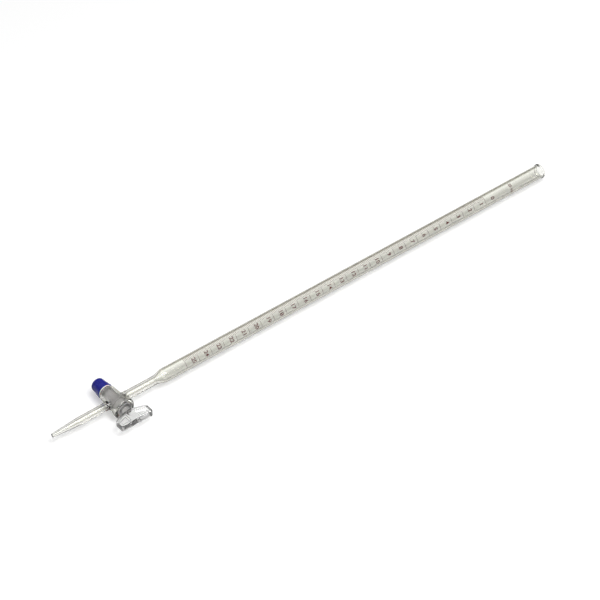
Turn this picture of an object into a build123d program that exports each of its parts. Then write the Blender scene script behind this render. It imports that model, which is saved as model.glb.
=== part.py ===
"""A glass burette with a ground-glass stopcock, lying on its side as it does on a bench.

The graduated tube runs along +X from the jet to the mouth. The stopcock key turns about an axis
along Y: its T-handle points to -Y and the blue retaining nut to +Y. The handle lies along the
tube, which is the open position. Z = 0 is the bench, which the front rim of the stopcock touches.
Everything is in millimetres, and the origin is the bottom centre of the bounding box.
"""

from build123d import *
from math import pi, radians, tan
import os

os.makedirs("parts", exist_ok=True)

# Graduated tube: one millilitre of the bore sets how far the graduations reach
capacity_ml = 25
tube_dia = 12.0
tube_wall = 1.07
bare_length_below = 20.0
bare_length_above = 69.0
shoulder_length = 9.0
shoulder_round = 5.0
shoulder_foot = 0.8
foot_round = 1.0
lip_dia = 13.6
lip_length = 2.6
lip_round = 0.9
lip_root = 0.6

# Inlet arm between the shoulder's weld and the stopcock, and outlet drawn down to the jet
arm_dia = 7.8
arm_wall = 2.0
arm_length = 27.8
outlet_dia = 7.0
outlet_wall = 1.8
outlet_length = 25.1
jet_length = 26.9
jet_dia = 3.4
jet_bore = 1.0
jet_round = 0.5

# Stopcock barrel, measured along the key from the axis of the tube
barrel_front = 12.7
barrel_back = 13.4
rim_dia = 19.2
rim_length = 5.6
rim_fall = 0.4
rim_round = 1.7
rim_back_round = 0.9
rim_foot = 1.0
body_dia = 16.4
neck_dia = 15.0
nose_length = 2.4
nose_dia = 12.6
nose_round = 2.0
nose_edge = 0.6
arm_reach = 11.2
arm_blend = 1.8
weld_step = 0.25
weld_round = 0.2
port_dia = 2.4

# Ground taper of socket and plug, one in ten on diameter
socket_dia = 12.5
taper_ratio = 0.1
lead_in = 0.7
grind_clearance = 0.03

# Key: plug, neck, T-handle and threaded tail
key_bore = 2.0
plug_stand_out = 0.2
plug_short_of_end = 1.2
plug_edge = 0.3
neck_waist_dia = 8.0
neck_run = 0.8
neck_round = 0.6
tail_dia = 7.0
tail_flat_depth = 0.6
tail_length = 10.8
tail_edge = 0.5
grip_length = 31.2
grip_thickness = 6.3
grip_depth = 13.9
grip_end_depth = 9.5
grip_hub = 7.6
grip_gap = 3.8
grip_dent = 1.0
grip_corner = 2.4
root_round = 3.0
sweep_round = 10.0
grip_edge = 1.3
panel_rim = 2.3
panel_sink = 0.7
hub_dia = 7.4
hub_reach = 9.0
hub_fall = 0.9
hub_round = 1.2

# Washer and ring under the nut
washer_dia = 13.0
washer_thickness = 1.0
washer_edge = 0.15
tail_clearance = 0.05
ring_section = 1.5
ring_clearance = 0.3
ring_play = 0.02

# Retaining nut, a closed cap that draws the plug into its socket
nut_gap = 0.2
nut_wall = 1.65
nut_length = 12.3
nut_taper = 4.0
nut_floor = 1.9
nut_round = 2.2
nut_edge = 0.3
collar_length = 4.2
collar_step = 0.35
flute_count = 18
flute_width = 1.5
flute_depth = 0.45
seat_clearance = 0.15

# Places along the tube, measured from the key's axis toward the mouth
tube_bore = tube_dia - 2 * tube_wall
millilitre_length = 1000 / (pi / 4 * tube_bore**2)
scale_length = capacity_ml * millilitre_length
weld_x = arm_reach + arm_length
shoulder_x = weld_x + shoulder_length
mouth_x = shoulder_x + bare_length_below + scale_length + bare_length_above
outlet_end_x = -(arm_reach + outlet_length)
jet_x = outlet_end_x - jet_length

# Sizes that follow the tail: its flat, the ring round it and the nut round the ring
tail_flat = tail_dia / 2 - tail_flat_depth
ring_dia = tail_dia + 2 * (ring_section + ring_clearance)
nut_mouth_dia = ring_dia + 2 * (seat_clearance + nut_wall)

# Places along the key, measured from the tube's axis toward the nut
front_y = -barrel_front
plug_front_y = front_y - plug_stand_out
plug_end_y = barrel_back - plug_short_of_end
grip_back_y = front_y - grip_gap
grip_front_y = grip_back_y - grip_depth
washer_top_y = barrel_back + washer_thickness
nut_mouth_y = washer_top_y + nut_gap
ring_seat_y = washer_top_y + ring_section + 2 * ring_play
nut_end_y = nut_mouth_y + nut_length
tail_end_y = plug_end_y + tail_length

# The tube's axis crosses the key's axis here, above the bench
crossing = Vector(-(mouth_x + jet_x) / 2, -(nut_end_y + grip_front_y) / 2, rim_dia / 2)
along_tube = Plane(origin=crossing, x_dir=(1, 0, 0), z_dir=(0, -1, 0))
along_key = Plane(origin=crossing, x_dir=(0, 1, 0), z_dir=(1, 0, 0))
plan = Plane(origin=crossing, x_dir=(1, 0, 0), z_dir=(0, 0, 1))
across_key = Plane(origin=crossing, x_dir=(1, 0, 0), z_dir=(0, 1, 0))
tube_axis = Axis(crossing, (1, 0, 0))
key_axis = Axis(crossing, (0, 1, 0))


def socket_radius(y):
    """Radius of the ground socket at a place along the key."""
    return (socket_dia - taper_ratio * (y - front_y)) / 2


# Graduated tube: parallel bore, drawn-in shoulder at the weld, fire-polished lip at the mouth
with BuildPart() as graduated_tube:
    lip_x = mouth_x - lip_length
    with BuildSketch(along_tube):
        with BuildLine():
            FilletPolyline(
                (weld_x, arm_dia / 2 - arm_wall),
                (weld_x, arm_dia / 2),
                (weld_x + shoulder_foot, arm_dia / 2),
                (shoulder_x, tube_dia / 2),
                (lip_x, tube_dia / 2),
                (lip_x, lip_dia / 2),
                (mouth_x, lip_dia / 2),
                (mouth_x, tube_bore / 2),
                (shoulder_x, tube_bore / 2),
                (weld_x + shoulder_foot, arm_dia / 2 - arm_wall),
                radius=[
                    0,
                    0,
                    foot_round,
                    shoulder_round,
                    0,
                    lip_root,
                    lip_round,
                    lip_round / 2,
                    shoulder_round,
                    foot_round,
                ],
                close=True,
            )
        make_face()
    revolve(axis=tube_axis)
graduated_tube.part.label = "graduated_tube"
export_step(graduated_tube.part, "parts/graduated_tube.step")

# Inlet arm: heavy-walled tubing welded between the shoulder and the stopcock
with BuildPart() as inlet_arm:
    with BuildSketch(along_tube):
        with Locations(((arm_reach + weld_x) / 2, (arm_dia - arm_wall) / 2)):
            Rectangle(arm_length, arm_wall)
    revolve(axis=tube_axis)
inlet_arm.part.label = "inlet_arm"
export_step(inlet_arm.part, "parts/inlet_arm.step")

# Outlet tube, drawn down to the jet
with BuildPart() as outlet_jet:
    with BuildSketch(along_tube):
        with BuildLine():
            FilletPolyline(
                (-arm_reach, outlet_dia / 2 - outlet_wall),
                (-arm_reach, outlet_dia / 2),
                (outlet_end_x, outlet_dia / 2),
                (jet_x, jet_dia / 2),
                (jet_x, jet_bore / 2),
                (outlet_end_x, outlet_dia / 2 - outlet_wall),
                radius=[0, 0, jet_length / 2, jet_round, 0, jet_length / 3],
                close=True,
            )
        make_face()
    revolve(axis=tube_axis)
outlet_jet.part.label = "outlet_jet"
export_step(outlet_jet.part, "parts/outlet_jet.step")

# Stopcock barrel: moulded shell with a thick rim at the handle's end, a rounded nose at the
# nut's end, and the ground socket through it. Each arm has a flared boss, a little wider than
# the tubing welded to it
with BuildPart() as stopcock_barrel:
    rim_back_y = front_y + rim_length
    body_y = rim_back_y + (rim_dia - body_dia) / 4
    with BuildSketch(along_key):
        with BuildLine():
            FilletPolyline(
                (front_y, 0),
                (front_y, rim_dia / 2),
                (front_y + rim_length / 2, rim_dia / 2),
                (rim_back_y, rim_dia / 2 - rim_fall),
                (body_y, body_dia / 2),
                (barrel_back - nose_length, neck_dia / 2),
                (barrel_back - nose_edge, nose_dia / 2 + nose_edge),
                (barrel_back, nose_dia / 2),
                (barrel_back, 0),
                radius=[0, rim_round, 0, rim_back_round, rim_foot, nose_round, 0, 0, 0],
                close=True,
            )
        make_face()
    revolve(axis=key_axis)
    for welded_dia, way in ((arm_dia, 1), (outlet_dia, -1)):
        boss_radius = welded_dia / 2 + weld_step
        with BuildSketch(Plane(origin=crossing, z_dir=(way, 0, 0))):
            Circle(boss_radius)
        extrude(amount=arm_reach)
        room = -body_y - rim_foot / 2 - boss_radius
        joining_edge = stopcock_barrel.edges(Select.LAST).filter_by(GeomType.BSPLINE)
        fillet(joining_edge, radius=min(arm_blend, 0.95 * room))
        boss_end = stopcock_barrel.edges().filter_by(GeomType.CIRCLE).sort_by(Axis(crossing, (way, 0, 0)))[-1]
        fillet(boss_end, radius=min(weld_round, 0.8 * weld_step))
    with BuildSketch(along_key):
        with BuildLine():
            Polyline(
                (front_y, 0),
                (front_y, socket_radius(front_y) + lead_in),
                (front_y + lead_in, socket_radius(front_y + lead_in)),
                (barrel_back, socket_radius(barrel_back)),
                (barrel_back, 0),
                close=True,
            )
        make_face()
    revolve(axis=key_axis, mode=Mode.SUBTRACT)
    with BuildSketch(Plane(origin=crossing, z_dir=(1, 0, 0))):
        Circle(port_dia / 2)
    extrude(amount=arm_reach, both=True, mode=Mode.SUBTRACT)
stopcock_barrel.part.label = "stopcock_barrel"
export_step(stopcock_barrel.part, "parts/stopcock_barrel.step")

# Outline of the T-handle seen along Z: hub, swept-back wings and a shallow dent in the front
half_grip = grip_length / 2
grip_corners = [
    (grip_hub / 2, grip_back_y),
    (half_grip, grip_front_y + grip_end_depth),
    (half_grip, grip_front_y),
    (grip_hub, grip_front_y),
    (0, grip_front_y + grip_dent),
    (-grip_hub, grip_front_y),
    (-half_grip, grip_front_y),
    (-half_grip, grip_front_y + grip_end_depth),
    (-grip_hub / 2, grip_back_y),
]
grip_radii = [
    root_round,
    grip_corner,
    grip_corner,
    sweep_round,
    sweep_round,
    sweep_round,
    grip_corner,
    grip_corner,
    root_round,
]

# Key: one piece of pressed glass, with the ground plug, its cross bore, the T-handle with sunk
# finger panels, and the threaded tail with a flat that turns the washer
with BuildPart() as stopcock_key:
    with BuildSketch(plan):
        with BuildLine():
            FilletPolyline(*grip_corners, radius=grip_radii, close=True)
        make_face()
    extrude(amount=grip_thickness / 2, both=True)
    grip_faces = stopcock_key.faces().filter_by(Axis.Z)
    fillet(grip_faces.edges(), radius=grip_edge)
    for side in (1, -1):
        with BuildSketch(plan.offset(side * grip_thickness / 2)):
            with BuildLine():
                FilletPolyline(*grip_corners, radius=grip_radii, close=True)
            make_face()
            offset(amount=-panel_rim, mode=Mode.REPLACE)
            with Locations((0, (grip_back_y + grip_front_y) / 2)):
                Rectangle(hub_dia + panel_rim, grip_length, mode=Mode.SUBTRACT)
        extrude(amount=-side * panel_sink, mode=Mode.SUBTRACT)
    with BuildSketch(along_key):
        with BuildLine():
            FilletPolyline(
                (grip_back_y - hub_reach, 0),
                (grip_back_y - hub_reach, hub_dia / 2 - hub_fall),
                (grip_back_y, hub_dia / 2),
                (plug_front_y - neck_run, neck_waist_dia / 2),
                (plug_front_y, socket_radius(front_y) - grind_clearance - plug_edge),
                (plug_front_y + plug_edge, socket_radius(plug_front_y + plug_edge) - grind_clearance),
                (plug_end_y, socket_radius(plug_end_y) - grind_clearance),
                (plug_end_y, tail_dia / 2),
                (tail_end_y - tail_edge, tail_dia / 2),
                (tail_end_y, tail_dia / 2 - tail_edge),
                (tail_end_y, 0),
                radius=[0, hub_round, 0, neck_round, 0, 0, 0, 0, 0, 0, 0],
                close=True,
            )
        make_face()
    revolve(axis=key_axis)
    with BuildSketch(across_key.offset(plug_end_y)):
        with Locations((0, -(tail_flat + tail_dia))):
            Rectangle(2 * tail_dia, 2 * tail_dia)
    extrude(amount=tail_length, mode=Mode.SUBTRACT)
    with BuildSketch(Plane(origin=crossing, z_dir=(1, 0, 0))):
        Circle(key_bore / 2)
    extrude(amount=socket_dia, both=True, mode=Mode.SUBTRACT)
stopcock_key.part.label = "stopcock_key"
export_step(stopcock_key.part, "parts/stopcock_key.step")

# Sealing washer: a slippery disc with a D-shaped hole, so that it turns with the key
with BuildPart() as ptfe_washer:
    with BuildSketch(across_key.offset(barrel_back)):
        Circle(washer_dia / 2)
        with BuildSketch(mode=Mode.PRIVATE) as d_hole:
            Circle(tail_dia / 2 + tail_clearance)
            with Locations((0, -(tail_flat + tail_clearance + tail_dia))):
                Rectangle(2 * tail_dia, 2 * tail_dia, mode=Mode.SUBTRACT)
        add(d_hole.sketch, mode=Mode.SUBTRACT)
    extrude(amount=washer_thickness)
    chamfer(ptfe_washer.edges().filter_by(GeomType.CIRCLE).group_by(SortBy.RADIUS)[-1], length=washer_edge)
ptfe_washer.part.label = "ptfe_washer"
export_step(ptfe_washer.part, "parts/ptfe_washer.step")

# O-ring, held between the washer and the floor of the nut's recess
with BuildPart() as o_ring:
    with BuildSketch(along_key):
        with Locations(((washer_top_y + ring_seat_y) / 2, (ring_dia - ring_section) / 2)):
            Circle(ring_section / 2)
    revolve(axis=key_axis)
o_ring.part.label = "o_ring"
export_step(o_ring.part, "parts/o_ring.step")

# Retaining nut: a closed moulded cap with a collar at its mouth and a fluted barrel behind it
with BuildPart() as retaining_nut:
    collar_end_y = nut_mouth_y + collar_length
    slope = tan(radians(nut_taper))
    fluted_dia = nut_mouth_dia - 2 * collar_step - 2 * collar_length * slope
    end_dia = fluted_dia - 2 * (nut_length - collar_length - collar_step) * slope
    with BuildSketch(along_key):
        with BuildLine():
            FilletPolyline(
                (nut_mouth_y, 0),
                (nut_mouth_y, nut_mouth_dia / 2 - nut_edge),
                (nut_mouth_y + nut_edge, nut_mouth_dia / 2),
                (collar_end_y, nut_mouth_dia / 2 - collar_length * slope),
                (collar_end_y + collar_step, fluted_dia / 2),
                (nut_end_y, end_dia / 2),
                (nut_end_y, 0),
                radius=[0, 0, 0, 0, 0, nut_round, 0],
                close=True,
            )
        make_face()
    revolve(axis=key_axis)
    flute_start = across_key.offset(collar_end_y + collar_step).location
    flute_offset = fluted_dia / 2 - flute_depth + flute_width / 2
    flute_planes = [
        Plane(flute_start * place * Location((0, 0, 0), (0, -nut_taper, 0)))
        for place in PolarLocations(flute_offset, flute_count)
    ]
    with BuildSketch(*flute_planes):
        Circle(flute_width / 2)
    extrude(amount=nut_length - collar_length - collar_step - nut_round, mode=Mode.SUBTRACT)
    with BuildSketch(across_key.offset(nut_mouth_y + collar_length / 4)):
        with PolarLocations(nut_mouth_dia / 2 + flute_width / 2 - flute_depth / 2, flute_count):
            Circle(flute_width / 2)
    extrude(amount=collar_length, mode=Mode.SUBTRACT)
    with BuildSketch(along_key):
        with BuildLine():
            Polyline(
                (nut_mouth_y, 0),
                (nut_mouth_y, ring_dia / 2 + seat_clearance),
                (ring_seat_y, ring_dia / 2 + seat_clearance),
                (ring_seat_y, tail_dia / 2 + tail_clearance),
                (nut_end_y - nut_floor, tail_dia / 2 + tail_clearance),
                (nut_end_y - nut_floor, 0),
                close=True,
            )
        make_face()
    revolve(axis=key_axis, mode=Mode.SUBTRACT)
retaining_nut.part.label = "retaining_nut"
export_step(retaining_nut.part, "parts/retaining_nut.step")

print("overall length", round(mouth_x - jet_x, 2), "crossing", crossing, "scale", round(scale_length, 2))
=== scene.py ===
"""A glass burette with a ground-glass stopcock, lying on a pale bench.

The graduated tube, its inlet arm, the stopcock's barrel and the outlet are glass welded into one
body. The key turns in the barrel's ground socket, and a plastic nut on its threaded tail holds it
there over a washer and a ring.
"""

import math

import bmesh
import bpy
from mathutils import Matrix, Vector


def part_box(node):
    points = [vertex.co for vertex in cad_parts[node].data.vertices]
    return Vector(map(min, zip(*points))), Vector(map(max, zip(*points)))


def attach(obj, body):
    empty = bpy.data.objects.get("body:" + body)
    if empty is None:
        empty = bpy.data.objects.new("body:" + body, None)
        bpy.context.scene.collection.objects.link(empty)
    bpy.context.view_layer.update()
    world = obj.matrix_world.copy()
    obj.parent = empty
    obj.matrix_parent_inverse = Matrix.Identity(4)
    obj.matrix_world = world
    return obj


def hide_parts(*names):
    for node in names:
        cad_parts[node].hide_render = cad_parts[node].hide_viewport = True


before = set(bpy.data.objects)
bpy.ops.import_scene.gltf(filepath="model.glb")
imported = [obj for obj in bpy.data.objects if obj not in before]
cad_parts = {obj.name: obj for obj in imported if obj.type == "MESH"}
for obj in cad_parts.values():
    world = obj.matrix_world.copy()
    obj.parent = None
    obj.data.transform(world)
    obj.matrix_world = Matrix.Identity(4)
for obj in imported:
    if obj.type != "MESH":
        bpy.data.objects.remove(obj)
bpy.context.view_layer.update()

# Graduated tube, inlet arm and outlet
# Borosilicate tubing drawn to a parallel bore. Its foot is necked down and welded to a heavy-walled
# arm, its mouth is fire-polished to a lip, and the outlet below the stopcock is drawn to a jet.
mm = 0.001


def corners_mm(node):
    """The lowest and highest corners of a node's box, in millimetres."""
    return [Vector(corner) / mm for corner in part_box(node)]


tube_low, tube_high = corners_mm("graduated_tube")
outlet_low, outlet_high = corners_mm("outlet_jet")
weld_x = tube_low.x
mouth_x = tube_high.x
lip_radius = (tube_high.z - tube_low.z) / 2
axis_y = (tube_high.y + tube_low.y) / 2
axis_z = (tube_high.z + tube_low.z) / 2
arm_start_x = corners_mm("inlet_arm")[0].x
outlet_start_x = outlet_high.x
jet_x = outlet_low.x
tube_radius = 6.0
bore_radius = 4.93
arm_radius = 3.9
arm_bore = 1.9
outlet_radius = 3.5
outlet_bore = 1.7
jet_radius = 1.7
jet_bore = 0.5
shoulder_length = 9.0
shoulder_rounding = 5.0
bead_reach = 0.7
bead_height = 0.12
bore_narrows = 0.8
lip_length = 2.6
flare_before = 0.5
flare_after = 0.7
draw_length = 26.9
# How far the tubes reach into the barrel's glass, with which they melt into one.
fused_in = 0.4
# The outline is swept round a circle of this radius, which the outline's own places take off again.
ring_radius = 3.0
tube_facets = 96


def rounded(corners, steps=6, hold=0.25):
    """A closed outline through corners given as along, across and rounding, all in millimetres.

    Each rounding becomes an arc, and a straight run over eight holds long gets a point at one hold
    from each end, which keeps its shading flat.
    """
    outline = []
    for index, (along, across, rounding) in enumerate(corners):
        corner = Vector((along, across))
        back = (Vector(corners[index - 1][:2]) - corner).normalized()
        ahead = (Vector(corners[(index + 1) % len(corners)][:2]) - corner).normalized()
        half = back.angle(ahead) / 2
        if rounding == 0:
            outline.append(corner)
            continue
        centre = corner + (back + ahead).normalized() * rounding / math.sin(half)
        start = (corner + back * rounding / math.tan(half) - centre).normalized()
        end = (corner + ahead * rounding / math.tan(half) - centre).normalized()
        outline += [centre + start.slerp(end, step / steps) * rounding for step in range(steps + 1)]
    held = []
    for point, following in zip(outline, outline[1:] + outline[:1]):
        run = following - point
        held.append(point)
        if run.length > 8 * hold:
            held += [point + run.normalized() * hold, following - run.normalized() * hold]
    return held


def put(tree, kind, inputs=None, **settings):
    """Adds a node with its settings, and gives each input a value or a link."""
    node = tree.nodes.new(kind)
    for name, value in settings.items():
        setattr(node, name, value)
    for name, value in (inputs or {}).items():
        if isinstance(value, bpy.types.NodeSocket):
            tree.links.new(value, node.inputs[name])
        else:
            node.inputs[name].default_value = value
    return node


def new_shape_tree(name, inputs):
    """A geometry tree with one geometry in and out and the named inputs, and its input node."""
    tree = bpy.data.node_groups.new(name, "GeometryNodeTree")
    tree.interface.new_socket("Geometry", in_out="INPUT", socket_type="NodeSocketGeometry")
    for label, kind in inputs.items():
        tree.interface.new_socket(label, in_out="INPUT", socket_type="NodeSocket" + kind)
    tree.interface.new_socket("Geometry", in_out="OUTPUT", socket_type="NodeSocketGeometry")
    return tree, put(tree, "NodeGroupInput")


def settled(piece):
    """The piece with what its modifiers make of it as its plain mesh."""
    graph = bpy.context.evaluated_depsgraph_get()
    made = bpy.data.meshes.new_from_object(piece.evaluated_get(graph))
    piece.modifiers.clear()
    piece.data = made
    return piece


def shaped(name, mesh, tree, values):
    """A piece made by a geometry tree, as a plain mesh."""
    piece = bpy.data.objects.new(name, mesh)
    bpy.context.scene.collection.objects.link(piece)
    modifier = piece.modifiers.new(tree.name, "NODES")
    modifier.node_group = tree
    for socket in tree.interface.items_tree:
        if socket.name in values:
            modifier[socket.identifier] = values[socket.name]
    return settled(piece)


def revolve_tree():
    """Turns the outline that it is given round the tube's axis."""
    tree, given = new_shape_tree(
        "turned_glass",
        {"Facets": "Int", "Ring radius": "Float", "Axis place": "Vector", "Glass": "Material"},
    )
    outline = put(tree, "GeometryNodeMeshToCurve", {"Mesh": given.outputs["Geometry"]})
    ring = put(
        tree,
        "GeometryNodeCurvePrimitiveCircle",
        {"Resolution": given.outputs["Facets"], "Radius": given.outputs["Ring radius"]},
    )
    wall = put(
        tree,
        "GeometryNodeCurveToMesh",
        {"Curve": ring.outputs["Curve"], "Profile Curve": outline.outputs["Curve"]},
    )
    turned = put(
        tree,
        "GeometryNodeTransform",
        {
            "Geometry": wall.outputs["Mesh"],
            "Rotation": (0, math.pi / 2, 0),
            "Translation": given.outputs["Axis place"],
        },
    )
    real = put(tree, "GeometryNodeRealizeInstances", {"Geometry": turned.outputs["Geometry"]})
    coated = put(
        tree,
        "GeometryNodeSetMaterial",
        {"Geometry": real.outputs["Geometry"], "Material": given.outputs["Glass"]},
    )
    put(tree, "NodeGroupOutput", {"Geometry": coated.outputs["Geometry"]})
    return tree


def paint(hex_colour):
    """An sRGB hex colour as the linear colour that a shader takes."""
    channels = [int(hex_colour[at : at + 2], 16) / 255 for at in (1, 3, 5)]
    linear = [c / 12.92 if c <= 0.04045 else ((c + 0.055) / 1.055) ** 2.4 for c in channels]
    return (*linear, 1.0)


def new_finish(name):
    """An empty material, its tree and its output node."""
    finish = bpy.data.materials.new(name)
    finish.use_nodes = True
    finish.node_tree.nodes.clear()
    return finish, finish.node_tree, put(finish.node_tree, "ShaderNodeOutputMaterial")


def edge_of_glass(tree, clear, painted_edge_shade, start, end):
    """The cast of glass, clear face on, and darkened by painted shade towards the edges, where the
    surface is seen edge-on.
    """
    # Painted shade: the colour darkens as the surface turns edge-on to the eye.
    slant = put(tree, "ShaderNodeLayerWeight", {"Blend": 0.5})
    shades = put(tree, "ShaderNodeValToRGB", {"Fac": slant.outputs["Facing"]})
    shades.color_ramp.elements[0].position = start
    shades.color_ramp.elements[0].color = paint(clear)
    shades.color_ramp.elements[1].position = end
    shades.color_ramp.elements[1].color = paint(painted_edge_shade)
    return shades.outputs["Color"]


def drawn_tubing():
    """Drawn borosilicate: clear with a faint grey-green cast, painted dark shade at its edges, and
    long, very shallow draw lines.
    """
    finish, tree, output = new_finish("drawn_borosilicate_glass")
    place = put(tree, "ShaderNodeTexCoord")
    stretched = put(
        tree, "ShaderNodeMapping", {"Vector": place.outputs["Object"], "Scale": (8.0, 700.0, 700.0)}
    )
    lines = put(
        tree, "ShaderNodeTexNoise", {"Vector": stretched.outputs["Vector"], "Scale": 1.0, "Detail": 1.0}
    )
    relief = put(
        tree,
        "ShaderNodeBump",
        {"Height": lines.outputs["Fac"], "Strength": 0.01, "Distance": 0.005 * mm},
    )
    glass = put(
        tree,
        "ShaderNodeBsdfPrincipled",
        {
            # Base colour: the faint cast, with painted dark shade at the edges.
            "Base Color": edge_of_glass(tree, "#f5f7f6", "#474b4a", 0.38, 0.62),
            "Roughness": 0.0,
            "IOR": 1.473,
            "Transmission Weight": 1.0,
            "Normal": relief.outputs["Normal"],
        },
    )
    tree.links.new(glass.outputs["BSDF"], output.inputs["Surface"])
    return finish


def outline_mesh(name, outline):
    """The outline as a ring of edges, laid out and run so that its turned faces point outwards."""
    following = outline[1:] + outline[:1]
    turning = sum(here.x * there.y - there.x * here.y for here, there in zip(outline, following))
    if turning < 0:
        outline = outline[::-1]
    mesh = bpy.data.meshes.new(name)
    points = [(across * mm - ring_radius * mm, -along * mm, 0) for along, across in outline]
    edges = [(index, (index + 1) % len(points)) for index in range(len(points))]
    mesh.from_pydata(points, edges, [])
    return mesh


tubing = drawn_tubing()
turned_glass = revolve_tree()
shoulder_x = weld_x + shoulder_length
lip_x = mouth_x - lip_length
inlet_corners = [
    (arm_start_x - fused_in, arm_bore, 0),
    (arm_start_x - fused_in, arm_radius, 0),
    (weld_x - bead_reach, arm_radius, 0.6),
    (weld_x, arm_radius + bead_height, 0.5),
    (weld_x + bead_reach, arm_radius, 0.9),
    (shoulder_x, tube_radius, shoulder_rounding),
    (lip_x - flare_before, tube_radius, 0.8),
    (lip_x + flare_after, lip_radius, 0.7),
    (mouth_x, lip_radius, 1.1),
    (mouth_x, bore_radius, 0.6),
    (shoulder_x, bore_radius, shoulder_rounding),
    (weld_x + bore_narrows, arm_bore, 1.0),
]
outlet_end_x = jet_x + draw_length
outlet_corners = [
    (outlet_start_x + fused_in, outlet_bore, 0),
    (outlet_start_x + fused_in, outlet_radius, 0),
    (outlet_end_x, outlet_radius, draw_length / 2),
    (jet_x, jet_radius, 0.5),
    (jet_x, jet_bore, 0.3),
    (outlet_end_x, outlet_bore, draw_length / 3),
]
drawn_tubes = [
    shaped(
        name,
        outline_mesh(name, rounded(corners)),
        turned_glass,
        {
            "Facets": tube_facets,
            "Ring radius": ring_radius * mm,
            "Axis place": (0.0, axis_y * mm, axis_z * mm),
            "Glass": tubing,
        },
    )
    for name, corners in (("tube_and_arm", inlet_corners), ("outlet_and_jet", outlet_corners))
]

# Graduations
# Fine arcs of brown enamel, screen printed on the tube and fired: one every tenth of a millilitre,
# a longer one at each half and the longest at each whole millilitre.
capacity = 25
steps_per_millilitre = 10
bore_area = math.pi * bore_radius**2
millilitre_length = 1000 / bore_area
bare_below = 20.0
zero_x = shoulder_x + bare_below + capacity * millilitre_length
# The film stands proud of the glass by the first of these and reaches into it by the second.
enamel_stand = 0.03
enamel_sunk = 0.012
film_radius = tube_radius + (enamel_stand - enamel_sunk) / 2
film_thickness = enamel_stand + enamel_sunk
line_width = 0.28
# Each kind of line: its first and last angle in degrees, up from the tube's front, and its points.
whole_line = (12.0, 96.0, 17)
half_line = (50.0, 100.0, 11)
tenth_line = (62.0, 100.0, 9)


def fired_enamel():
    """Brown ceramic enamel: a thin satin film with a grain from the screen and small pinholes."""
    finish, tree, output = new_finish("fired_brown_enamel")
    place = put(tree, "ShaderNodeTexCoord")
    grain = put(
        tree,
        "ShaderNodeTexNoise",
        {"Vector": place.outputs["Object"], "Scale": 2600.0, "Detail": 3.0},
    )
    shades = put(tree, "ShaderNodeValToRGB", {"Fac": grain.outputs["Fac"]})
    shades.color_ramp.elements[0].position = 0.3
    shades.color_ramp.elements[0].color = paint("#3a1512")
    shades.color_ramp.elements[1].position = 0.75
    shades.color_ramp.elements[1].color = paint("#6e241f")
    film = put(
        tree,
        "ShaderNodeBsdfPrincipled",
        {"Base Color": shades.outputs["Color"], "Roughness": 0.38, "IOR": 1.55},
    )
    tree.links.new(film.outputs["BSDF"], output.inputs["Surface"])
    return finish


def remainder_is_zero(tree, number, divisor):
    """Whether a mark's count divides evenly."""
    rest = put(
        tree, "ShaderNodeMath", {0: number.outputs["Index"], 1: float(divisor)}, operation="MODULO"
    )
    return put(
        tree,
        "FunctionNodeCompare",
        {"A": rest.outputs[0], "B": 0.5},
        data_type="FLOAT",
        operation="LESS_THAN",
    )


def scale_tree():
    """Arcs of three lengths along the tube, each one's kind set by its place in the count."""
    tree, given = new_shape_tree(
        "fired_scale",
        {
            "Marks": "Int",
            "Spacing": "Float",
            "Zero place": "Vector",
            "Film radius": "Float",
            "Film thickness": "Float",
            "Line width": "Float",
            "Enamel": "Material",
        },
    )
    step_back = put(
        tree, "ShaderNodeMath", {0: given.outputs["Spacing"], 1: -1.0}, operation="MULTIPLY"
    )
    step = put(tree, "ShaderNodeCombineXYZ", {"X": step_back.outputs[0]})
    places = put(
        tree,
        "GeometryNodeMeshLine",
        {
            "Count": given.outputs["Marks"],
            "Start Location": given.outputs["Zero place"],
            "Offset": step.outputs["Vector"],
        },
    )
    strip = put(
        tree,
        "GeometryNodeCurvePrimitiveQuadrilateral",
        {"Width": given.outputs["Film thickness"], "Height": given.outputs["Line width"]},
    )
    number = put(tree, "GeometryNodeInputIndex")
    whole = remainder_is_zero(tree, number, steps_per_millilitre)
    half = remainder_is_zero(tree, number, steps_per_millilitre // 2)
    half_only = put(
        tree,
        "FunctionNodeBooleanMath",
        {0: half.outputs["Result"], 1: whole.outputs["Result"]},
        operation="NIMPLY",
    )
    tenth = put(tree, "FunctionNodeBooleanMath", {0: half.outputs["Result"]}, operation="NOT")
    joined = put(tree, "GeometryNodeJoinGeometry")
    kinds = ((whole, whole_line), (half_only, half_line), (tenth, tenth_line))
    for chosen, (first_angle, last_angle, points) in kinds:
        arc = put(
            tree,
            "GeometryNodeCurveArc",
            {
                "Resolution": points,
                "Radius": given.outputs["Film radius"],
                "Start Angle": math.radians(first_angle),
                "Sweep Angle": math.radians(last_angle - first_angle),
            },
        )
        line = put(
            tree,
            "GeometryNodeCurveToMesh",
            {"Curve": arc.outputs["Curve"], "Profile Curve": strip.outputs["Curve"], "Fill Caps": True},
        )
        set_up = put(
            tree,
            "GeometryNodeInstanceOnPoints",
            {
                "Points": places.outputs["Mesh"],
                "Selection": chosen.outputs[0],
                "Instance": line.outputs["Mesh"],
                "Rotation": (math.pi / 2, 0, -math.pi / 2),
            },
        )
        tree.links.new(set_up.outputs["Instances"], joined.inputs["Geometry"])
    real = put(tree, "GeometryNodeRealizeInstances", {"Geometry": joined.outputs["Geometry"]})
    coated = put(
        tree,
        "GeometryNodeSetMaterial",
        {"Geometry": real.outputs["Geometry"], "Material": given.outputs["Enamel"]},
    )
    put(tree, "NodeGroupOutput", {"Geometry": coated.outputs["Geometry"]})
    return tree


enamel = fired_enamel()
scale_lines = shaped(
    "fired_scale_lines",
    bpy.data.meshes.new("fired_scale_lines"),
    scale_tree(),
    {
        "Marks": capacity * steps_per_millilitre + 1,
        "Spacing": millilitre_length / steps_per_millilitre * mm,
        "Zero place": (zero_x * mm, axis_y * mm, axis_z * mm),
        "Film radius": film_radius * mm,
        "Film thickness": film_thickness * mm,
        "Line width": line_width * mm,
        "Enamel": enamel,
    },
)
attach(scale_lines, "glassware")

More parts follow.
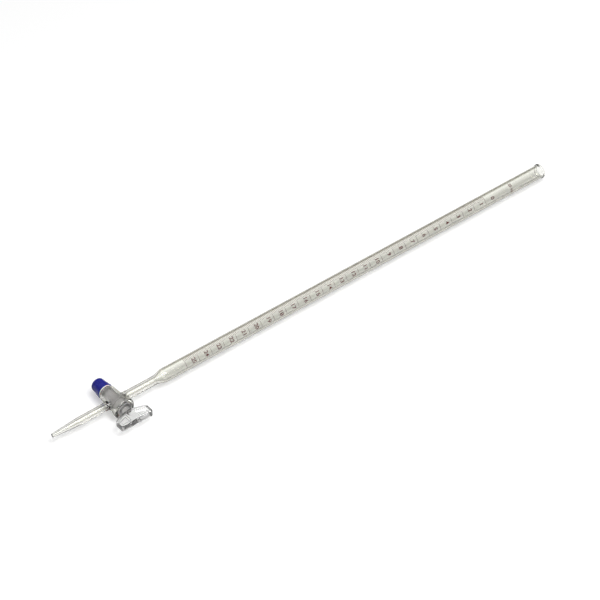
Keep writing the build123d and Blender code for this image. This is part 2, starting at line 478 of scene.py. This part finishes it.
# Numbers of the scale
# The same enamel, printed with the lines: 0 at the mouth's end to 25 above the stopcock, each set
# across the tube just past its line, and the capacity beside the mouth.
digit_height = 3.7
digit_angle = math.radians(38.3)
digit_offset = 8.0
capacity_height = 2.6
capacity_offset = 30
# A digit stands this share of its font's size high, and its strokes are this much bolder each way.
digit_share = 0.7
stroke_gain = 0.1
# The lettering is cut into strips of this width, so that it bends round the tube.
strip_width = 0.4
merge_distance = 0.001


def printed(text, height, centre_x, centre_angle):
    """A mesh of lettering bent round the tube, with its foot toward the jet."""
    lettering = bpy.data.curves.new("lettering", "FONT")
    lettering.body = text
    lettering.align_x = "CENTER"
    lettering.align_y = "CENTER"
    lettering.size = height / digit_share * mm
    lettering.extrude = film_thickness / 2 * mm
    lettering.offset = stroke_gain * mm
    lettering.resolution_u = 4
    writer = bpy.data.objects.new("lettering", lettering)
    bpy.context.scene.collection.objects.link(writer)
    graph = bpy.context.evaluated_depsgraph_get()
    flat = bpy.data.meshes.new_from_object(writer.evaluated_get(graph))
    shape = bmesh.new()
    shape.from_mesh(flat)
    bmesh.ops.remove_doubles(shape, verts=shape.verts, dist=merge_distance * mm)
    reach = max(abs(vertex.co.x) for vertex in shape.verts)
    cuts = int(reach / (strip_width * mm))
    for cut in range(-cuts, cuts + 1):
        bmesh.ops.bisect_plane(
            shape,
            geom=shape.verts[:] + shape.edges[:] + shape.faces[:],
            dist=0.0001 * mm,
            plane_co=(cut * strip_width * mm, 0, 0),
            plane_no=(1, 0, 0),
        )
    for vertex in shape.verts:
        angle = centre_angle - vertex.co.x / (tube_radius * mm)
        radius = film_radius * mm + vertex.co.z
        vertex.co = Vector(
            (
                centre_x * mm + vertex.co.y,
                axis_y * mm - radius * math.cos(angle),
                axis_z * mm + radius * math.sin(angle),
            )
        )
    bmesh.ops.recalc_face_normals(shape, faces=shape.faces)
    shape.to_mesh(flat)
    shape.free()
    bpy.data.objects.remove(writer)
    return flat


prints = [
    printed(str(number), digit_height, zero_x - number * millilitre_length + digit_offset, digit_angle)
    for number in range(capacity + 1)
]
prints.append(printed(f"{capacity} ml", capacity_height, zero_x + capacity_offset, digit_angle))
all_prints = bmesh.new()
for flat in prints:
    all_prints.from_mesh(flat)
numbers_mesh = bpy.data.meshes.new("fired_scale_numbers")
all_prints.to_mesh(numbers_mesh)
all_prints.free()
numbers = bpy.data.objects.new("fired_scale_numbers", numbers_mesh)
bpy.context.scene.collection.objects.link(numbers)
numbers_mesh.materials.append(enamel)
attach(numbers, "glassware")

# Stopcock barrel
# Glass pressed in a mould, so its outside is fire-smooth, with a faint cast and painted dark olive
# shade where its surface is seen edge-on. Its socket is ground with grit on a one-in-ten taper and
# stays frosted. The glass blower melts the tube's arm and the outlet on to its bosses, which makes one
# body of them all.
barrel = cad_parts["stopcock_barrel"]
barrel_low, barrel_high = corners_mm("stopcock_barrel")
key_x = (barrel_low.x + barrel_high.x) / 2
socket_radius = 6.25
taper_on_radius = 0.05
ground_depth = 0.2


def along_and_off_axis(tree):
    """Sockets for the place along the key and the distance from its axis, in metres."""
    place = put(tree, "ShaderNodeTexCoord")
    centred = put(
        tree,
        "ShaderNodeMapping",
        {"Vector": place.outputs["Object"], "Location": (-key_x * mm, -axis_y * mm, -axis_z * mm)},
    )
    parts = put(tree, "ShaderNodeSeparateXYZ", {"Vector": centred.outputs["Vector"]})
    flat = put(
        tree, "ShaderNodeCombineXYZ", {"X": parts.outputs["X"], "Z": parts.outputs["Z"]}
    )
    distance = put(
        tree, "ShaderNodeVectorMath", {0: flat.outputs["Vector"]}, operation="LENGTH"
    )
    return place.outputs["Object"], parts.outputs["Y"], distance.outputs["Value"]


def ground_share(tree, along, distance, front_y):
    """One where a surface lies in the ground taper, and nothing outside it."""
    fall = put(
        tree,
        "ShaderNodeMath",
        {
            0: along,
            1: -taper_on_radius,
            2: (socket_radius + ground_depth + taper_on_radius * (front_y - axis_y)) * mm,
        },
        operation="MULTIPLY_ADD",
    )
    return put(
        tree, "ShaderNodeMath", {0: distance, 1: fall.outputs[0]}, operation="LESS_THAN"
    )


def pressed_barrel():
    """Pressed glass, smooth and faintly rippled outside with painted dark olive shade at its edges,
    ground to a fine frost in the socket.
    """
    finish, tree, output = new_finish("pressed_glass_with_ground_socket")
    place, along, distance = along_and_off_axis(tree)
    ground = ground_share(tree, along, distance, barrel_low.y)
    ripple = put(tree, "ShaderNodeTexNoise", {"Vector": place, "Scale": 260.0, "Detail": 1.0})
    grit = put(tree, "ShaderNodeTexNoise", {"Vector": place, "Scale": 6000.0, "Detail": 2.0})
    relief = put(
        tree,
        "ShaderNodeBump",
        {"Height": ripple.outputs["Fac"], "Strength": 0.12, "Distance": 0.3 * mm},
    )
    smooth = put(
        tree,
        "ShaderNodeBsdfPrincipled",
        {
            # Base colour: a faint cast, with painted dark olive shade at the edges.
            "Base Color": edge_of_glass(tree, "#fbfbf6", "#5f5c3c", 0.3, 0.75),
            "Roughness": 0.0,
            "IOR": 1.49,
            "Transmission Weight": 1.0,
            "Normal": relief.outputs["Normal"],
        },
    )
    grit_relief = put(
        tree,
        "ShaderNodeBump",
        {"Height": grit.outputs["Fac"], "Strength": 0.4, "Distance": 0.03 * mm},
    )
    frosted = put(
        tree,
        "ShaderNodeBsdfPrincipled",
        {
            "Base Color": paint("#fbfbf8"),
            "Roughness": 0.22,
            "IOR": 1.49,
            "Transmission Weight": 0.95,
            "Normal": grit_relief.outputs["Normal"],
        },
    )
    both = put(
        tree,
        "ShaderNodeMixShader",
        {0: ground.outputs[0], 1: smooth.outputs["BSDF"], 2: frosted.outputs["BSDF"]},
    )
    tree.links.new(both.outputs["Shader"], output.inputs["Surface"])
    return finish


def refinish(node, finish):
    """Gives a node that is kept as it is its real finish."""
    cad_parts[node].data.materials.clear()
    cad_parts[node].data.materials.append(finish)


def welded(name, pressed, finish, tubes):
    """Barrel and tubing as one closed body of glass, each surface shaded as it was when apart."""
    shape = bmesh.new()
    shape.from_mesh(pressed.data)
    bmesh.ops.remove_doubles(shape, verts=shape.verts, dist=merge_distance * mm)
    for face in shape.faces:
        face.smooth = True
        face.material_index = 0
    mesh = bpy.data.meshes.new(name)
    shape.to_mesh(mesh)
    shape.free()
    mesh.materials.append(finish)
    body = bpy.data.objects.new(name, mesh)
    bpy.context.scene.collection.objects.link(body)
    for tube in tubes:
        melt = body.modifiers.new("melt", "BOOLEAN")
        melt.operation = "UNION"
        melt.solver = "MANIFOLD"
        melt.object = tube
    for source in (pressed, *tubes):
        carry = body.modifiers.new("carry shading", "DATA_TRANSFER")
        carry.object = source
        carry.use_loop_data = True
        carry.data_types_loops = {"CUSTOM_NORMAL"}
        carry.loop_mapping = "POLYINTERP_NEAREST"
        carry.use_max_distance = True
        carry.max_distance = 0.01 * mm
    return settled(body)


glassware = welded("welded_glassware", barrel, pressed_barrel(), drawn_tubes)
for tube in drawn_tubes:
    bpy.data.objects.remove(tube)
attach(glassware, "glassware")
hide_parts("graduated_tube", "inlet_arm", "outlet_jet", "stopcock_barrel")

# Stopcock key
# One pressed piece: the T-handle with its sunk finger panels is clear, and the plug is ground with
# the socket that it turns in, so it is grey and frosted.
plug_stands_out = 0.2
plug_front_y = barrel_low.y - plug_stands_out
frost_starts = 0.05


def pressed_key():
    """Pressed glass with a ground plug: clear at the handle and neck with painted dark shade at their
    edges, grey frost on the plug.
    """
    finish, tree, output = new_finish("pressed_glass_with_ground_plug")
    place, along, distance = along_and_off_axis(tree)
    ground = put(
        tree,
        "ShaderNodeMath",
        {0: along, 1: (plug_front_y + frost_starts - axis_y) * mm},
        operation="GREATER_THAN",
    )
    ripple = put(tree, "ShaderNodeTexNoise", {"Vector": place, "Scale": 200.0, "Detail": 1.0})
    relief = put(
        tree,
        "ShaderNodeBump",
        {"Height": ripple.outputs["Fac"], "Strength": 0.12, "Distance": 0.3 * mm},
    )
    clear = put(
        tree,
        "ShaderNodeBsdfPrincipled",
        {
            # Base colour: clear, with painted dark shade at the edges.
            "Base Color": edge_of_glass(tree, "#fcfcfb", "#3f443e", 0.3, 0.75),
            "Roughness": 0.0,
            "IOR": 1.49,
            "Transmission Weight": 1.0,
            "Normal": relief.outputs["Normal"],
        },
    )
    grit = put(tree, "ShaderNodeTexNoise", {"Vector": place, "Scale": 6000.0, "Detail": 2.0})
    grit_relief = put(
        tree,
        "ShaderNodeBump",
        {"Height": grit.outputs["Fac"], "Strength": 0.4, "Distance": 0.03 * mm},
    )
    frosted = put(
        tree,
        "ShaderNodeBsdfPrincipled",
        {
            "Base Color": paint("#ebe8ec"),
            "Roughness": 0.3,
            "IOR": 1.49,
            "Transmission Weight": 0.85,
            "Normal": grit_relief.outputs["Normal"],
        },
    )
    both = put(
        tree,
        "ShaderNodeMixShader",
        {0: ground.outputs[0], 1: clear.outputs["BSDF"], 2: frosted.outputs["BSDF"]},
    )
    tree.links.new(both.outputs["Shader"], output.inputs["Surface"])
    return finish


refinish("stopcock_key", pressed_key())

# Washer and ring
# A slippery PTFE washer with a D-shaped hole turns with the key, and a ring of beige silicone
# rubber gives the nut something soft to pull on.


def skived_ptfe():
    """PTFE cut from a rod: waxy white, a little see-through, with turning marks."""
    finish, tree, output = new_finish("ptfe")
    place = put(tree, "ShaderNodeTexCoord")
    marks = put(
        tree,
        "ShaderNodeTexNoise",
        {"Vector": place.outputs["Object"], "Scale": 1500.0, "Detail": 2.0},
    )
    relief = put(
        tree, "ShaderNodeBump", {"Height": marks.outputs["Fac"], "Strength": 0.1, "Distance": 0.05 * mm}
    )
    wax = put(
        tree,
        "ShaderNodeBsdfPrincipled",
        {
            "Base Color": paint("#f1f1ec"),
            "Roughness": 0.42,
            "IOR": 1.38,
            "Subsurface Weight": 0.4,
            "Subsurface Scale": 1.0 * mm,
            "Normal": relief.outputs["Normal"],
        },
    )
    tree.links.new(wax.outputs["BSDF"], output.inputs["Surface"])
    return finish


def moulded_rubber():
    """Silicone rubber: matt beige with a fine bloom."""
    finish, tree, output = new_finish("silicone_rubber")
    place = put(tree, "ShaderNodeTexCoord")
    bloom = put(
        tree,
        "ShaderNodeTexNoise",
        {"Vector": place.outputs["Object"], "Scale": 900.0, "Detail": 3.0},
    )
    shades = put(tree, "ShaderNodeValToRGB", {"Fac": bloom.outputs["Fac"]})
    shades.color_ramp.elements[0].color = paint("#b49a74")
    shades.color_ramp.elements[1].color = paint("#cbb592")
    rubber = put(
        tree,
        "ShaderNodeBsdfPrincipled",
        {"Base Color": shades.outputs["Color"], "Roughness": 0.6, "IOR": 1.41},
    )
    tree.links.new(rubber.outputs["BSDF"], output.inputs["Surface"])
    return finish


refinish("ptfe_washer", skived_ptfe())
refinish("o_ring", moulded_rubber())

# Retaining nut
# A closed cap of blue polypropylene, injection moulded with a plain collar at its mouth and flutes
# for the fingers, and screwed on the key's tail.


def moulded_cap():
    """Deep blue moulded polypropylene: glossy and faintly mottled where the melt flowed."""
    finish, tree, output = new_finish("moulded_polypropylene")
    place = put(tree, "ShaderNodeTexCoord")
    flow = put(
        tree,
        "ShaderNodeTexNoise",
        {"Vector": place.outputs["Object"], "Scale": 420.0, "Detail": 3.0},
    )
    shades = put(tree, "ShaderNodeValToRGB", {"Fac": flow.outputs["Fac"]})
    shades.color_ramp.elements[0].position = 0.3
    shades.color_ramp.elements[0].color = paint("#12157a")
    shades.color_ramp.elements[1].position = 0.7
    shades.color_ramp.elements[1].color = paint("#1a2190")
    relief = put(
        tree, "ShaderNodeBump", {"Height": flow.outputs["Fac"], "Strength": 0.06, "Distance": 0.1 * mm}
    )
    plastic = put(
        tree,
        "ShaderNodeBsdfPrincipled",
        {
            "Base Color": shades.outputs["Color"],
            "Roughness": 0.2,
            "IOR": 1.49,
            "Normal": relief.outputs["Normal"],
        },
    )
    tree.links.new(plastic.outputs["BSDF"], output.inputs["Surface"])
    return finish


refinish("retaining_nut", moulded_cap())

# Bench, light and camera
# A pale bench under a wide soft light, seen from where the photograph was taken. The bench gives
# part of its white as plain light to the eye and the glass, and the rest takes the shadow.
bench_size = 8.0
share_seen = 0.4
share_in_glass = 0.3


def white_bench():
    """Matt white laminate whose unshaded parts read as plain white."""
    finish, tree, output = new_finish("white_laminate")
    path = put(tree, "ShaderNodeLightPath")
    in_glass = put(
        tree,
        "ShaderNodeMath",
        {0: path.outputs["Is Glossy Ray"], 1: path.outputs["Is Transmission Ray"]},
        operation="MAXIMUM",
    )
    glass_share = put(
        tree, "ShaderNodeMath", {0: in_glass.outputs[0], 1: share_in_glass}, operation="MULTIPLY"
    )
    own_share = put(
        tree,
        "ShaderNodeMath",
        {0: path.outputs["Is Camera Ray"], 1: share_seen, 2: glass_share.outputs[0]},
        operation="MULTIPLY_ADD",
    )
    glow = put(
        tree,
        "ShaderNodeEmission",
        {"Color": (1, 1, 1, 1), "Strength": own_share.outputs[0]},
    )
    laminate = put(tree, "ShaderNodeBsdfDiffuse", {"Color": paint("#d9d9d9")})
    both = put(tree, "ShaderNodeAddShader", {0: glow.outputs[0], 1: laminate.outputs[0]})
    tree.links.new(both.outputs["Shader"], output.inputs["Surface"])
    return finish


bpy.ops.mesh.primitive_plane_add(size=bench_size, location=(0, 0, 0))
bench = bpy.context.object
bench.name = "bench"
bench.data.materials.append(white_bench())


def studio_sky():
    """A dim grey room, paler overhead, so that the glass has dark edges. The eye sees white."""
    sky = bpy.data.worlds.new("studio_sky")
    sky.use_nodes = True
    tree = sky.node_tree
    tree.nodes.clear()
    place = put(tree, "ShaderNodeTexCoord")
    parts = put(tree, "ShaderNodeSeparateXYZ", {"Vector": place.outputs["Generated"]})
    shades = put(tree, "ShaderNodeValToRGB", {"Fac": parts.outputs["Z"]})
    shades.color_ramp.elements[0].position = 0.3
    shades.color_ramp.elements[0].color = (0.12, 0.12, 0.12, 1)
    shades.color_ramp.elements[1].position = 0.85
    shades.color_ramp.elements[1].color = (0.7, 0.7, 0.7, 1)
    path = put(tree, "ShaderNodeLightPath")
    dim = put(tree, "ShaderNodeBackground", {"Color": shades.outputs["Color"], "Strength": 1.0})
    plain = put(tree, "ShaderNodeBackground", {"Color": (1, 1, 1, 1), "Strength": 1.0})
    shown = put(
        tree,
        "ShaderNodeMixShader",
        {0: path.outputs["Is Camera Ray"], 1: dim.outputs[0], 2: plain.outputs[0]},
    )
    put(tree, "ShaderNodeOutputWorld", {"Surface": shown.outputs[0]})
    return sky


bpy.context.scene.world = studio_sky()

softbox_distance = 1.2
softbox_size = 0.8
softbox_elevation = math.radians(68)
# Watts that a square metre of the bench would get if the softbox shone all round. It shines one
# way only, and a white face on the bench renders at about 0.63 of plain white by it alone.
softbox_irradiance = 0.55
toward_softbox = Vector((0, -math.cos(softbox_elevation), math.sin(softbox_elevation)))
softbox = bpy.data.lights.new("softbox", "AREA")
softbox.shape = "DISK"
softbox.size = softbox_size
all_round = 4 * math.pi * softbox_distance**2
softbox.energy = softbox_irradiance * all_round / math.sin(softbox_elevation)
lamp = bpy.data.objects.new("softbox", softbox)
bpy.context.scene.collection.objects.link(lamp)
lamp.location = toward_softbox * softbox_distance
lamp.rotation_euler = (-toward_softbox).to_track_quat("-Z", "Y").to_euler()

# The place on the tube's axis that the camera looks at, and the photograph's pixel that it lies on.
aim_x = -2.107
photo_size = 600
aim_pixel_x = 306.4
aim_pixel_y = 297.6
aim = Vector((aim_x, axis_y, axis_z)) * mm
azimuth = math.radians(-39.0)
elevation = math.radians(42.14)
camera_distance = 2468
lens = bpy.data.cameras.new("studio_camera")
lens.sensor_width = 36
lens.lens = 176.0
lens.shift_x = (photo_size / 2 - aim_pixel_x) / photo_size
lens.shift_y = (aim_pixel_y - photo_size / 2) / photo_size
lens.clip_end = 20
camera = bpy.data.objects.new("studio_camera", lens)
bpy.context.scene.collection.objects.link(camera)
toward_camera = Vector(
    (
        math.sin(azimuth) * math.cos(elevation),
        -math.cos(azimuth) * math.cos(elevation),
        math.sin(elevation),
    )
)
camera.location = aim + toward_camera * (camera_distance * mm)
camera.rotation_euler = (-toward_camera).to_track_quat("-Z", "Y").to_euler()
bpy.context.scene.camera = camera
bpy.context.scene.view_settings.view_transform = "Standard"
